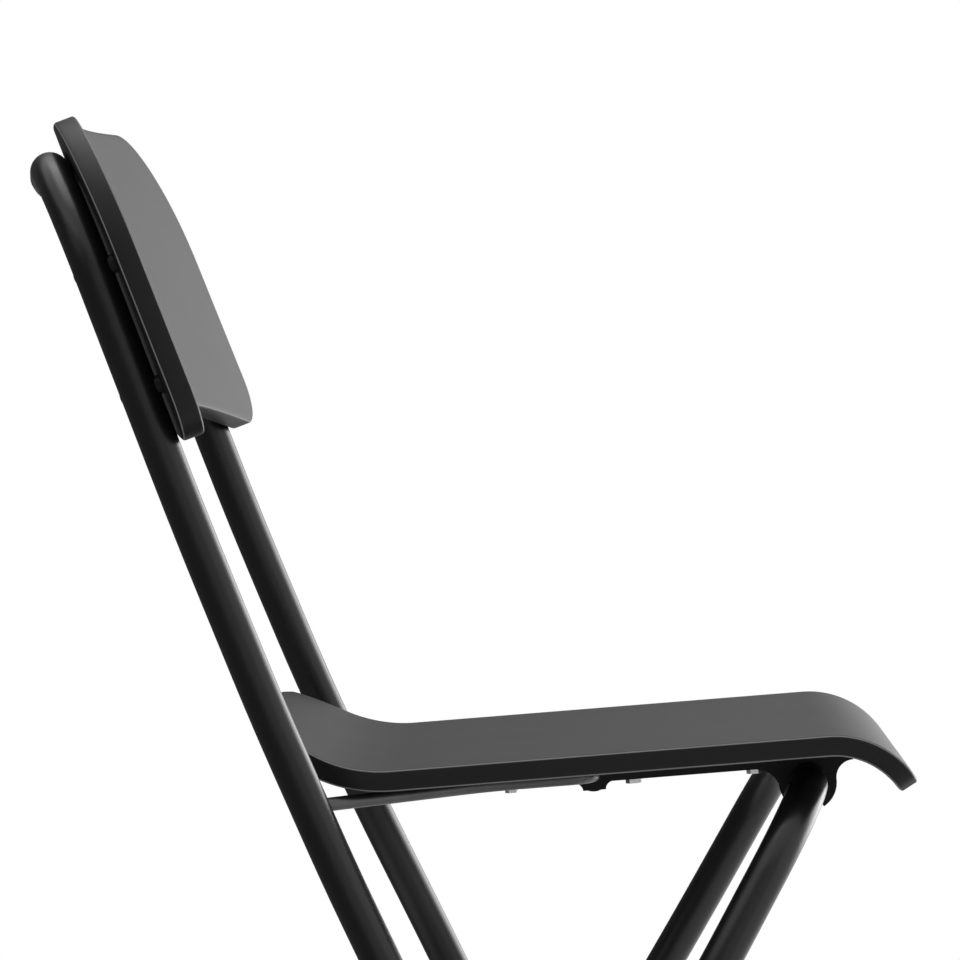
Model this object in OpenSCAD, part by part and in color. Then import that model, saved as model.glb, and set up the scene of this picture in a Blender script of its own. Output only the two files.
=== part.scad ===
// Folding bar stool with a backrest: two crossed tube frames, a moulded seat and a moulded back.
// +X is the front, +Z is up, and the origin is on the floor, in the middle of the overall box.

/* [Tubes] */
// Outer diameter of the frame tube
tube_d = 20; // [18:0.5:22]
// Wall of the frame tube
tube_wall = 1.5; // [1:0.1:2.5]
// Outer diameter of the footrest bar
footrest_d = 20; // [16:0.5:22]
// Outer diameter of the rear crossbar
crossbar_d = 16; // [12:0.5:20]

/* [Legs] */
// Height of the crossing bolts above the floor
cross_z = 359; // [340:1:380]
// Lean of the front legs from upright, in degrees
front_tilt = 26.2; // [24:0.1:28]
// Lean of the rear legs from upright, in degrees
rear_tilt = 30; // [28:0.1:32]
// Gap between the front and the rear leg at the crossing bolt
pivot_gap = 7; // [5:0.5:9]
// Height of the footrest bar
footrest_z = 226; // [190:1:270]
// Height of the rear crossbar
crossbar_z = 165; // [120:1:200]

/* [Back frame] */
// Height at which the front legs start to draw in
ankle_z = 495; // [480:1:510]
// Height of the first bend below the seat
hip_z = 560; // [552:1:570]
// Height of the bend at the seat
waist_z = 640; // [632:1:650]
// Height of the bend under the backrest
shoulder_z = 735; // [725:1:745]
// How far each side draws in from the legs to the hip bend
hip_in = 8.5; // [7:0.5:10]
// How far each side draws in from the hip bend to the waist bend
waist_in = 9.5; // [8:0.5:11]
// How far each side draws in from the waist bend to the uprights behind the backrest
shoulder_in = 6.5; // [5:0.5:8]
// Lean between the hip and the waist, in degrees
hip_tilt = 24.4; // [23.5:0.1:25]
// Lean between the waist and the shoulder, in degrees
waist_tilt = 22.6; // [22:0.1:24]
// Lean of the uprights behind the backrest, in degrees
back_tilt = 21; // [20:0.1:23]
// Distance along the upright from the shoulder bend to the top tube
frame_top = 195; // [188:1:205]
// Radius of the two top corners of the back frame
top_corner_r = 60; // [50:1:66]
// Radius to which the top tube is bent between its corners
top_bend_r = 1224; // [1100:1:1350]

/* [Rear frame] */
// Height of the rear frame's top tube, on which the seat turns
seat_axis_z = 601.7; // [596:0.1:606]
// Height of the bend in the rear legs
knee_z = 505; // [495:1:515]
// Lean of the rear legs above that bend, in degrees
knee_tilt = 28.5; // [27.5:0.1:29.5]
// How far the rear frame's upper corners, before they are rounded, lie inside its legs
rear_top_in = 22.5; // [18:0.5:26]
// Radius of the rear frame's upper corners
rear_corner_r = 60; // [54:1:64]

/* [Seat] */
// Width of the seat
seat_w = 380; // [370:1:384]
// Gap between the seat's sides and the back frame at the hip bend
seat_side_gap = 18; // [16:0.5:22]
// Thickness of the seat
seat_t = 10.8; // [10:0.1:12]
// Rise of the flat of the seat towards the front, in degrees
seat_slope = 4.64; // [4:0.02:5]
// Length of the flat of the seat
seat_flat = 220.1; // [214:0.1:224]
// How far the flat runs in front of the seat's axis
seat_flat_front = 10; // [8:0.1:12]
// Distance from the seat's underside to the axis it turns on
axis_drop = 16.8; // [16.2:0.1:18]
// Radius of the rear curl, on the upper face
curl_r = 76.5; // [70:0.5:90]
// Turn of the rear curl, in degrees
curl_turn = 29.3; // [27:0.1:31]
// Length of the straight rear lip
curl_lip = 37.4; // [32:0.2:39]
// Radius of the front edge roll, on the upper face
nose_r = 49.5; // [46:0.5:54]
// Turn of the front edge roll, in degrees
nose_turn = 61.6; // [56:0.2:64]
// Length of the straight front lip
nose_lip = 1; // [0.5:0.1:4]
// Corner radius at the rear of the seat
seat_rear_corner_r = 51; // [44:1:60]
// Radius of the slightly bowed rear edge
seat_bow_r = 1217; // [900:1:2000]
// Corner radius at the front of the seat
seat_front_corner_r = 8; // [5:0.5:14]

/* [Backrest] */
// How far the backrest's lower corners reach past the uprights' axes
back_out = 26.5; // [22:0.5:32]
// Height of the backrest from its lower corners to its top
back_h = 183.2; // [176:0.2:190]
// Thickness of the backrest
back_t = 11.6; // [10.6:0.1:12.4]
// Radius to which the backrest is curved round the sitter's back
back_curve_r = 1314; // [1200:1:1500]
// Lean of each side edge towards the middle, in degrees
back_side_lean = 4.3; // [3:0.1:7]
// Corner radius at the top of the backrest
back_top_corner_r = 85.5; // [70:0.5:90]
// Corner radius at the bottom of the backrest
back_low_corner_r = 23; // [14:0.5:28]
// Rise of the arched lower edge in the middle
back_arch = 24.5; // [20:0.1:30]
// Radius of the slightly crowned top edge
back_crown_r = 6000; // [4000:50:8000]
// Distance along the upright from the shoulder bend to the lower corners
back_rise = 36; // [34:0.1:42]
// Gap between the backrest and the back frame where they lie closest
back_gap = 0.3; // [0.3:0.05:1]

/* [Seat brackets] */
// Width of a seat bracket
bracket_w = 24; // [18:0.5:26]
// Distance from a bracket's middle out to the stay's arm
bracket_in = 28; // [27:0.5:32]
// Thickness of the bracket's strip
strip_t = 8; // [7:0.1:9]
// How far the strip reaches behind the rearmost screw
strip_tail = 3.7; // [3.2:0.1:6]
// Distance from the seat's axis forward to the strip's front tip
strip_front = 24; // [21:0.1:26]
// Outer radius of the claw round the rear frame's top tube
claw_r = 14.8; // [13.5:0.1:15.6]
// Half angle of the gap under the claw, in degrees
claw_gap_half = 29; // [22:1:36]
// Outer radius of the hump round the stay
hump_r = 8.8; // [7.5:0.1:9.5]
// Distance from the seat's axis back to the rearmost screw
screw_back = 151.6; // [148:0.1:152]
// Distance from the seat's axis back to the foremost screw
screw_front = 26.8; // [25:0.1:29]

/* [Folding stay] */
// Diameter of the stay's rod
rod_d = 7; // [6:0.1:7.6]
// Distance from the seat's axis back to the stay's cross part
stay_back = 109.5; // [107:0.1:112]
// Distance from the seat's underside to the middle of the stay's rod
stay_drop = 3.9; // [3.8:0.05:4.4]
// Distance from the seat's side in to the stay's arm, where the arms run side by side
stay_in = 48; // [42:0.5:51]
// Length of the arms' side-by-side stretch
stay_straight = 54; // [40:1:60]
// Radius of the stay's two corners
stay_corner_r = 12; // [10:0.5:14]

/* [Feet] */
// Wall of a foot cap
foot_wall = 2.5; // [1.8:0.1:4]
// Length of a foot cap along the leg's axis
foot_l = 34; // [28:1:44]
// Height of the leg's end above the floor, measured on its axis
foot_lift = 10; // [9:0.5:14]

/* [Fasteners] */
// Diameter of the crossing bolts
bolt_d = 8; // [6:0.5:9]
// Diameter of a crossing bolt's domed head
bolt_head_d = 15; // [13:0.5:17]
// Height of a crossing bolt's head
bolt_head_h = 4.2; // [3.5:0.1:5]
// Outer diameter of the washers on the crossing bolts
washer_d = 17; // [15:0.5:19]
// Thickness of the washers on the crossing bolts
washer_t = 1.6; // [1:0.1:2]
// Width across the flats of the crossing bolts' nuts
nut_af = 13; // [11:0.5:14]
// Height of the crossing bolts' nuts
nut_h = 6.5; // [5:0.1:8]
// Diameter of the backrest screws
back_screw_d = 5; // [4:0.1:5.5]
// Diameter of the backrest screws' heads
back_screw_head_d = 8.4; // [7.5:0.1:9]
// Height of the backrest screws' heads
back_screw_head_h = 1.3; // [1:0.1:2]
// Distance along the backrest from its lower corners to the lower screws
back_screw_low = 36.5; // [32:0.5:40]
// Distance between the lower and the upper backrest screws
back_screw_pitch = 64.5; // [58:0.5:70]
// Diameter of the bracket screws
seat_screw_d = 4; // [3.5:0.1:4.5]
// Width across the flats of the bracket screws' heads
seat_screw_af = 7; // [6.5:0.1:7.5]
// Height of the bracket screws' heads
seat_screw_head_h = 2.8; // [2.4:0.1:3.2]

/* [Hidden] */

$fn = 64;
// Small clearances and the overrun of cuts
fit = 0.1;
gap = 0.3;
slip = 0.05;
over = 2;
bend_step = 0.05;
bend_lap = 1;
// Straight pieces into which each drawn arc of an outline is divided
arc_steps = 24;

tube_r = tube_d / 2;
rod_r = rod_d / 2;
bolt_r = bolt_d / 2;

// Half widths of the two frames, from the seat outwards and back in again
hip_half_w = seat_w / 2 + seat_side_gap + tube_r;
leg_half_w = hip_half_w + hip_in;
waist_half_w = hip_half_w - waist_in;
upright_half_w = waist_half_w - shoulder_in;
rear_half_w = leg_half_w - tube_d - pivot_gap;
rear_top_half_w = rear_half_w - rear_top_in;
stay_half_w = seat_w / 2 - stay_in;
bracket_y = stay_half_w - bracket_in;
strip_back = screw_back + strip_tail;

// Radii of the gentle bends in the two frames
ankle_r = 380;
hip_r = 1400;
waist_r = 950;
shoulder_r = 1100;
knee_r = 300;

// Vectors in the side view and in space
function along(tilt) = [-sin(tilt), 0, cos(tilt)];
function square_to(tilt) = [cos(tilt), 0, sin(tilt)];
function unit(v) = v / norm(v);
function flip(p) = [p[0], -p[1], p[2]];
function side(p, s) = [p[0], s * p[1], p[2]];
function with_y(p, y) = [p[0], y, p[2]];
// Value a share t of the way from a to b
function blend(a, b, t) = a + (b - a) * t;

// The top tube's bend, seen along the uprights: its centre lies in front of them
corner_run = top_corner_r + over;
top_far_r = sqrt(pow(top_bend_r, 2) + pow(corner_run, 2));
top_half_turn = asin(upright_half_w / top_far_r) - acos(top_bend_r / top_far_r);
top_bend_c = sqrt(pow(top_far_r, 2) - pow(upright_half_w, 2));
top_bend_points = [for (i = [0:arc_steps]) let (a = top_half_turn * i / arc_steps)
    [top_bend_c - top_bend_r * cos(a), top_bend_r * sin(a)]];
top_end_points = [for (i = [1:arc_steps])
    blend(top_bend_points[arc_steps], [0, upright_half_w], i / arc_steps)];

// The backrest's curve: its centre lies in front of the panel, in the panel's own frame
back_half = upright_half_w + back_out;
back_mid_half = back_half - back_h / 4 * tan(back_side_lean);
curve_c = sqrt(pow(back_curve_r, 2) - pow(back_mid_half, 2));
// The panel stands just far enough forward to clear the tube along its whole width
clear_r = back_curve_r + back_t + back_gap + tube_r;
curve_c_n = max([for (p = concat(top_bend_points, top_end_points))
    p[0] + sqrt(pow(clear_r, 2) - pow(p[1], 2))]);
upright_n = curve_c - curve_c_n;

// Heights and reaches measured from the crossing bolts
hip_dx = -(hip_z - cross_z) * tan(front_tilt);
waist_dx = hip_dx - (waist_z - hip_z) * tan(hip_tilt);
shoulder_dx = waist_dx - (shoulder_z - waist_z) * tan(waist_tilt);
seat_axis_dx = (knee_z - cross_z) * tan(rear_tilt) + (seat_axis_z - knee_z) * tan(knee_tilt);

// Front reach: the nose of the seat or the front feet; rear reach: the middle of the top tube
seat_top = axis_drop + seat_t;
nose_end = [seat_flat_front + nose_r * sin(nose_turn) + nose_lip * cos(nose_turn),
    seat_top - nose_r * (1 - cos(nose_turn)) - nose_lip * sin(nose_turn)];
nose_reach = seat_axis_dx + nose_end[0] * cos(seat_slope) - nose_end[1] * sin(seat_slope);
foot_r = tube_r + fit + foot_wall;
foot_reach = cross_z * tan(front_tilt) + foot_r / cos(front_tilt);
front_reach = max(nose_reach, foot_reach);
top_mid_n = top_bend_c - top_bend_r;
rear_reach = shoulder_dx - frame_top * sin(back_tilt) + top_mid_n * cos(back_tilt) - tube_r;
cross_x = -(front_reach + rear_reach) / 2;

// Main points
cross_p = [cross_x, 0, cross_z];
seat_axis = [cross_x + seat_axis_dx, 0, seat_axis_z];
hip_p = [cross_x + hip_dx, 0, hip_z];
waist_p = [cross_x + waist_dx, 0, waist_z];
shoulder_p = [cross_x + shoulder_dx, 0, shoulder_z];
top_p = shoulder_p + frame_top * along(back_tilt);

function leg_x(z) = cross_x + (cross_z - z) * tan(front_tilt);
function rear_leg_x(z) = cross_x - (cross_z - z) * tan(rear_tilt);

// Axis of the back frame's tube, from one foot over the top to the other
top_mid_p = top_p + (top_bend_c - top_bend_r / cos(top_half_turn)) * square_to(back_tilt);
back_half_path = [[leg_x(foot_lift), leg_half_w, foot_lift],
    [leg_x(ankle_z), leg_half_w, ankle_z],
    with_y(hip_p, hip_half_w), with_y(waist_p, waist_half_w),
    with_y(shoulder_p, upright_half_w), with_y(top_p, upright_half_w)];
back_half_bends = [0, ankle_r, hip_r, waist_r, shoulder_r, top_corner_r];
back_path = concat(back_half_path, [top_mid_p], [for (i = [5:-1:0]) flip(back_half_path[i])]);
back_bends = concat(back_half_bends, [top_bend_r], [for (i = [5:-1:0]) back_half_bends[i]]);

// Axis of the rear frame's tube
rear_half_path = [[rear_leg_x(foot_lift), rear_half_w, foot_lift],
    [rear_leg_x(knee_z), rear_half_w, knee_z],
    with_y(seat_axis, rear_top_half_w)];
rear_path = concat(rear_half_path, [for (i = [2:-1:0]) flip(rear_half_path[i])]);
rear_bends = [0, knee_r, rear_corner_r, rear_corner_r, knee_r, 0];

// Where the stay meets the uprights: its arms run with the flat of the seat
stay_z = axis_drop - stay_drop;
stay_p = seat_axis - stay_back * [cos(seat_slope), 0, sin(seat_slope)] + stay_z * along(seat_slope);
stay_rise = tan(seat_slope);
hip_run = tan(hip_tilt);
stay_pin_z = (stay_p[2] + stay_rise * (waist_p[0] + hip_run * waist_z - stay_p[0]))
    / (1 + stay_rise * hip_run);
stay_pin_x = waist_p[0] + hip_run * (waist_z - stay_pin_z);
stay_pin_y = blend(hip_half_w, waist_half_w, (stay_pin_z - hip_z) / (waist_z - hip_z));
stay_run = norm([stay_p[0] - stay_pin_x, 0, stay_p[2] - stay_pin_z]);
bush_flange_t = 1.2;
bush_flange_r = 7;
bush_wrap = 1.5;
bush_r = 5;
bush_l = 4;
// The stay's tips stop just short of the bushes
stay_tip_y = stay_pin_y - tube_r - bush_flange_t - 2 * gap;
stay_pin_l = 9;
stay_bend_r = 8;
stay_elbow_r = 60;

// Places of the backrest screws on the uprights
back_screw_places = [back_rise + back_screw_low, back_rise + back_screw_low + back_screw_pitch];
// Flat on which a backrest screw's head sits
head_flat = sqrt(pow(tube_r, 2) - pow(back_screw_head_d / 2 + fit, 2));
insert_wall = 1.5;
insert_l = 8;
back_insert_skin = 2.5;
spacer_r = 5;

// Points along an arc from angle a0 to angle a1, without the first ones when they are already there
function arc_points(c, r, a0, a1, first) = [for (i = [first:arc_steps])
    let (a = a0 + (a1 - a0) * i / arc_steps) c + r * [cos(a), sin(a)]];

// Bent round bar or tube: straight stretches and arcs along a list of corner points
function turn_at(p, i) = acos(unit(p[i] - p[i - 1]) * unit(p[i + 1] - p[i]));
function bend_run(p, b, i) = i == 0 || i == len(p) - 1 ? 0 : b[i] * tan(turn_at(p, i) / 2);

module rod_between(a, b, r, lap_a = 0, lap_b = 0) {
    v = b - a;
    translate(a)
        rotate([0, acos(v[2] / norm(v)), atan2(v[1], v[0])])
            translate([0, 0, -lap_a])
                cylinder(r = r, h = norm(v) + lap_a + lap_b);
}

module arc_at(p0, p1, p2, bend_r, r) {
    u1 = unit(p1 - p0);
    u2 = unit(p2 - p1);
    turn = acos(u1 * u2);
    n = unit(cross(u1, u2));
    m = cross(n, u1);
    c = p1 - u1 * bend_r * tan(turn / 2) + m * bend_r;
    multmatrix([[-m[0], u1[0], n[0], c[0]],
            [-m[1], u1[1], n[1], c[1]],
            [-m[2], u1[2], n[2], c[2]],
            [0, 0, 0, 1]])
        rotate_extrude(angle = turn, $fn = 128)
            translate([bend_r, 0])
                circle(r = r, $fn = 32);
}

// The bends are a hair thicker, and each straight runs a little way into them
module bent_bar(p, b, r) {
    n = len(p) - 1;
    for (i = [0:n - 1]) {
        u = unit(p[i + 1] - p[i]);
        a = p[i] + u * bend_run(p, b, i);
        c = p[i + 1] - u * bend_run(p, b, i + 1);
        rod_between(a, c, r, i == 0 ? 0 : bend_lap, i == n - 1 ? 0 : bend_lap);
    }
    for (i = [1:n - 1]) {
        arc_at(p[i - 1], p[i], p[i + 1], b[i], r + bend_step);
    }
}

function longer(p) = let (n = len(p) - 1) [for (i = [0:n])
    i == 0 ? p[0] + over * unit(p[0] - p[1]) : i == n ? p[n] + over * unit(p[n] - p[n - 1]) : p[i]];

module bent_tube(p, b) {
    difference() {
        bent_bar(p, b, tube_r);
        bent_bar(longer(p), b, tube_r - tube_wall);
    }
}

// Round bar across the stool, from y0 to y1
module across(p, y0, y1, r) {
    translate([p[0], y1, p[2]])
        rotate([90, 0, 0])
            cylinder(r = r, h = y1 - y0);
}

// Frames of the backrest and of the seat
module in_back_frame() {
    translate(shoulder_p + back_rise * along(back_tilt) - upright_n * square_to(back_tilt))
        rotate([0, -back_tilt, 0])
            children();
}

module in_seat_frame() {
    translate(seat_axis)
        rotate([0, -seat_slope, 0])
            children();
}

// Upright's frame at a backrest screw: x runs square to the upright, towards the front
module at_back_screw(s, sign) {
    p = shoulder_p + s * along(back_tilt);
    translate([p[0], sign * upright_half_w, p[2]])
        rotate([0, 90 - back_tilt, 0])
            children();
}

module back_frame_tube() {
    color("#1d1d1f")
    difference() {
        bent_tube(back_path, back_bends);
        across(cross_p, leg_half_w - tube_d, leg_half_w + tube_d, bolt_r + fit);
        across(cross_p, -leg_half_w - tube_d, -leg_half_w + tube_d, bolt_r + fit);
        for (sign = [-1, 1]) {
            translate([stay_pin_x, sign * (stay_pin_y - tube_r / 2), stay_pin_z])
                rotate([sign * 90, 0, 0])
                    cylinder(r = bush_r + slip, h = tube_d);
            for (s = back_screw_places) {
                at_back_screw(s, sign) {
                    translate([0, 0, -tube_d])
                        cylinder(r = back_screw_d / 2 + fit, h = 2 * tube_d);
                    translate([0, 0, -tube_d])
                        cylinder(r = back_screw_head_d / 2 + fit, h = tube_d - head_flat);
                }
            }
        }
    }
}

// Welded bar between two legs, its ends hollowed to sit round them
module coped_bar(x, z, half_w, tilt, bar_r) {
    difference() {
        across([x, 0, z], -half_w, half_w, bar_r);
        across([x, 0, z], -half_w - over, half_w + over, bar_r - tube_wall);
        for (sign = [-1, 1]) {
            translate([x, sign * half_w, z])
                rotate([0, tilt, 0])
                    cylinder(r = tube_r + fit, h = 4 * tube_d, center = true);
        }
    }
}

module footrest_bar() {
    color("#1d1d1f")
    coped_bar(leg_x(footrest_z), footrest_z, leg_half_w, -front_tilt, footrest_d / 2);
}

module rear_crossbar() {
    color("#1d1d1f")
    coped_bar(rear_leg_x(crossbar_z), crossbar_z, rear_half_w, rear_tilt, crossbar_d / 2);
}

// Plastic cap on a leg's end, cut level where it stands
module foot_cap(x, y, tilt) {
    color("#161616")
    difference() {
        translate([x, y, foot_lift])
            rotate([0, tilt, 0]) {
                translate([0, 0, -foot_lift * 3])
                    cylinder(r = foot_r, h = foot_lift * 3 + foot_l);
            }
        translate([x, y, foot_lift])
            rotate([0, tilt, 0])
                translate([0, 0, -gap])
                    cylinder(r = tube_r + fit, h = foot_l + 2 * over);
        translate([x - 4 * tube_d, y - 2 * tube_d, -4 * tube_d])
            cube([8 * tube_d, 4 * tube_d, 4 * tube_d]);
    }
}

module front_foot_left() {
    foot_cap(leg_x(foot_lift), leg_half_w, -front_tilt);
}

module front_foot_right() {
    foot_cap(leg_x(foot_lift), -leg_half_w, -front_tilt);
}

module rear_foot_left() {
    foot_cap(rear_leg_x(foot_lift), rear_half_w, rear_tilt);
}

module rear_foot_right() {
    foot_cap(rear_leg_x(foot_lift), -rear_half_w, rear_tilt);
}

// Outline of the backrest, seen square to it: sides that lean in, a crowned top, an arched foot
side_share = tan(back_side_lean);
side_long = sqrt(1 + side_share * side_share);
crown_c = back_h - back_crown_r;
arch_r = (pow(back_half, 2) + pow(back_arch, 2)) / (2 * back_arch);
arch_c = back_arch - arch_r;
// Centre of a corner circle: r inside the side line, and d away from a centre at height c
function corner_off(r, c) = back_half - r * side_long - side_share * c;
function corner_up(r, d, c) = let (o = corner_off(r, c), k = 1 + side_share * side_share)
    (o * side_share + sqrt(pow(o * side_share, 2) - k * (o * o - d * d))) / k;
function corner_c(r, d, c) = [corner_off(r, c) - side_share * corner_up(r, d, c),
    c + corner_up(r, d, c)];
top_c = corner_c(back_top_corner_r, back_crown_r - back_top_corner_r, crown_c);
low_c = corner_c(back_low_corner_r, arch_r + back_low_corner_r, arch_c);
low_turn = atan2(arch_c - low_c[1], -low_c[0]);
crown_turn = atan2(top_c[1] - crown_c, top_c[0]);
right_half = concat(arc_points([0, arch_c], arch_r, 90, low_turn + 180, 0),
    arc_points(low_c, back_low_corner_r, low_turn, back_side_lean, 1),
    arc_points(top_c, back_top_corner_r, back_side_lean, crown_turn, 0),
    arc_points([0, crown_c], back_crown_r, crown_turn, 90, 1));

module backrest_outline() {
    n = len(right_half) - 1;
    polygon(concat(right_half, [for (i = [n - 1:-1:1]) [-right_half[i][0], right_half[i][1]]]));
}

curve_half_turn = asin(back_half / back_curve_r) + 1;

module backrest_panel() {
    color("#2b2b2d")
    difference() {
        in_back_frame() {
            intersection() {
                translate([back_top_corner_r, 0, 0])
                    rotate([90, 0, -90])
                        linear_extrude(height = 2 * back_top_corner_r)
                            backrest_outline();
                translate([curve_c, 0, -over])
                    rotate([0, 0, 180 - curve_half_turn])
                        rotate_extrude(angle = 2 * curve_half_turn, $fn = 2400)
                            translate([back_curve_r, 0])
                                square([back_t, back_h + 2 * over]);
            }
        }
        for (sign = [-1, 1]) {
            for (s = back_screw_places) {
                at_back_screw(s, sign)
                    cylinder(r = insert_r(back_screw_d) + slip, h = insert_reach);
            }
        }
    }
}

function insert_r(screw_d) = screw_d / 2 + insert_wall;
// Distance from the upright's axis to the backrest's faces, along a screw
function face_reach(r) = curve_c_n - sqrt(pow(r, 2) - pow(upright_half_w, 2));
insert_reach = face_reach(back_curve_r) - back_insert_skin;

module backrest_inserts() {
    color("#b08a3c")
    for (sign = [-1, 1]) {
        for (s = back_screw_places) {
            at_back_screw(s, sign)
                translate([0, 0, insert_reach - gap - insert_l])
                    difference() {
                        cylinder(r = insert_r(back_screw_d), h = insert_l);
                        translate([0, 0, -over])
                            cylinder(r = back_screw_d / 2 + slip, h = insert_l + 2 * over);
                    }
        }
    }
}

// Low domed head with a six-sided socket, rising from the ground plane
module dome_head(d, h, socket) {
    ball_r = (pow(d / 2, 2) + h * h) / (2 * h);
    difference() {
        intersection() {
            translate([0, 0, h - ball_r])
                sphere(r = ball_r, $fn = 96);
            cylinder(r = d, h = 2 * h);
        }
        translate([0, 0, h / 2])
            cylinder(r = socket / 2, h = h, $fn = 6);
    }
}

module backrest_screws() {
    color("#141414")
    for (sign = [-1, 1]) {
        for (s = back_screw_places) {
            at_back_screw(s, sign) {
                translate([0, 0, -head_flat])
                    cylinder(r = back_screw_d / 2, h = head_flat + insert_reach - 2 * gap);
                translate([0, 0, -head_flat])
                    mirror([0, 0, 1])
                        dome_head(back_screw_head_d, back_screw_head_h, back_screw_d * 2 / 3);
            }
        }
    }
}

// Thin saddle between an upright and the backrest, round each screw
module backrest_spacers() {
    color("#1a1a1a")
    difference() {
        for (sign = [-1, 1]) {
            for (s = back_screw_places) {
                at_back_screw(s, sign)
                    difference() {
                        cylinder(r = spacer_r, h = face_reach(back_curve_r));
                        translate([0, 0, -over])
                            cylinder(r = back_screw_d / 2 + fit, h = 2 * tube_d);
                        // Cut to the slant of the backrest's rear face
                        translate([0, 0, face_reach(back_curve_r + back_t) - slip])
                            rotate([sign * asin(upright_half_w / (back_curve_r + back_t)), 0, 0])
                                translate([-tube_d, -tube_d, 0])
                                    cube(2 * tube_d);
                    }
            }
        }
        // Cut to the upright and to the start of its top corner
        for (sign = [-1, 1]) {
            bent_bar([side(with_y(shoulder_p, upright_half_w), sign),
                side(with_y(top_p, upright_half_w), sign), top_mid_p],
                [0, top_corner_r, 0], tube_r + slip, $fn = 256);
        }
    }
}

// Crossing bolts: head outside the front leg, nut inside the rear leg
bolt_out = leg_half_w + tube_r + washer_t;
bolt_in = rear_half_w - tube_r - washer_t - nut_h;

module outward(sign, y) {
    translate([cross_x, sign * y, cross_z])
        rotate([-sign * 90, 0, 0])
            children();
}

module crossing_bolts() {
    color("#3a3a3c")
    for (sign = [-1, 1]) {
        outward(sign, bolt_in - over / 2)
            cylinder(r = bolt_r, h = bolt_out - bolt_in + over / 2);
        outward(sign, bolt_out)
            dome_head(bolt_head_d, bolt_head_h, bolt_d * 2 / 3);
    }
}

module ring(outer_r, inner_r, h) {
    difference() {
        cylinder(r = outer_r, h = h);
        translate([0, 0, -over])
            cylinder(r = inner_r, h = h + 2 * over);
    }
}

module crossing_washers() {
    color("#8c8c8e")
    for (sign = [-1, 1]) {
        outward(sign, leg_half_w + tube_r)
            ring(washer_d / 2, bolt_r + slip, washer_t);
        outward(sign, rear_half_w - tube_r - washer_t)
            ring(washer_d / 2, bolt_r + slip, washer_t);
    }
}

module crossing_nuts() {
    color("#8c8c8e")
    for (sign = [-1, 1]) {
        outward(sign, bolt_in)
            difference() {
                cylinder(r = nut_af / 2 / cos(30), h = nut_h, $fn = 6);
                translate([0, 0, -over])
                    cylinder(r = bolt_r + slip, h = nut_h + 2 * over);
            }
    }
}

module crossing_spacers() {
    color("#202020")
    for (sign = [-1, 1]) {
        outward(sign, rear_half_w + tube_r + fit)
            ring(washer_d / 2, bolt_r + fit, pivot_gap - 2 * fit);
    }
}

// Frame on a bush's inner face, its z running outwards into the upright
module at_stay_pin(sign) {
    translate([stay_pin_x, sign * (stay_pin_y - tube_r - bush_flange_t), stay_pin_z])
        rotate([-sign * 90, 0, 0])
            children();
}

// Plastic bushes in the uprights' inner walls, for the stay's tips
module stay_bushes() {
    color("#202020")
    for (sign = [-1, 1]) {
        difference() {
            union() {
                difference() {
                    at_stay_pin(sign)
                        cylinder(r = bush_flange_r, h = bush_flange_t + bush_wrap);
                    // The flange wraps a little way round the upright
                    rod_between(side(with_y(hip_p, hip_half_w), sign),
                        side(with_y(waist_p, waist_half_w), sign), tube_r + slip, $fn = 256);
                }
                at_stay_pin(sign)
                    cylinder(r = bush_r, h = bush_flange_t + bush_l);
            }
            at_stay_pin(sign)
                translate([0, 0, -over])
                    cylinder(r = rod_r + fit, h = bush_flange_t + bush_l + 2 * over);
        }
    }
}

module rear_frame_tube() {
    color("#1d1d1f")
    difference() {
        bent_tube(rear_path, rear_bends);
        across(cross_p, rear_half_w - tube_d, rear_half_w + tube_d, bolt_r + fit);
        across(cross_p, -rear_half_w - tube_d, -rear_half_w + tube_d, bolt_r + fit);
    }
}

// Seat: one bent sheet, curled up at the rear and rolled down at the front
flat_back = seat_flat_front - seat_flat;
rear_end_x = flat_back - (curl_r + seat_t) * sin(curl_turn) - curl_lip * cos(curl_turn);

nose_c = [seat_flat_front, seat_top - nose_r];
nose_out = [sin(nose_turn), cos(nose_turn)];
nose_on = [cos(nose_turn), -sin(nose_turn)];
curl_c = [flat_back, seat_top + curl_r];
curl_out = [-sin(curl_turn), -cos(curl_turn)];
curl_on = [-cos(curl_turn), sin(curl_turn)];
seat_profile = concat(arc_points(nose_c, nose_r, 90, 90 - nose_turn, 0),
    [nose_c + nose_r * nose_out + nose_lip * nose_on,
        nose_c + (nose_r - seat_t) * nose_out + nose_lip * nose_on],
    arc_points(nose_c, nose_r - seat_t, 90 - nose_turn, 90, 0),
    arc_points(curl_c, curl_r + seat_t, -90, -90 - curl_turn, 0),
    [curl_c + (curl_r + seat_t) * curl_out + curl_lip * curl_on,
        curl_c + curl_r * curl_out + curl_lip * curl_on],
    arc_points(curl_c, curl_r, -90 - curl_turn, -90, 0));

// Outline of the seat from above: straight sides, a straight front and a bowed rear edge
rear_corner_y = seat_w / 2 - seat_rear_corner_r;
bow_c = [rear_end_x + seat_bow_r, 0];
rear_corner_x = bow_c[0] - sqrt(pow(seat_bow_r - seat_rear_corner_r, 2) - pow(rear_corner_y, 2));
bow_turn = atan2(rear_corner_y, rear_corner_x - bow_c[0]);
front_corner_y = seat_w / 2 - seat_front_corner_r;
front_corner_x = nose_end[0] - seat_front_corner_r;
seat_loop = concat(
    arc_points([rear_corner_x, -rear_corner_y], seat_rear_corner_r, 360 - bow_turn, 270, 0),
    arc_points([front_corner_x, -front_corner_y], seat_front_corner_r, 270, 360, 0),
    arc_points([front_corner_x, front_corner_y], seat_front_corner_r, 0, 90, 0),
    arc_points([rear_corner_x, rear_corner_y], seat_rear_corner_r, 90, bow_turn, 0),
    arc_points(bow_c, seat_bow_r, bow_turn, 360 - bow_turn, 1));

module seat_outline() {
    polygon([for (i = [0:len(seat_loop) - 2]) seat_loop[i]]);
}

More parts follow.
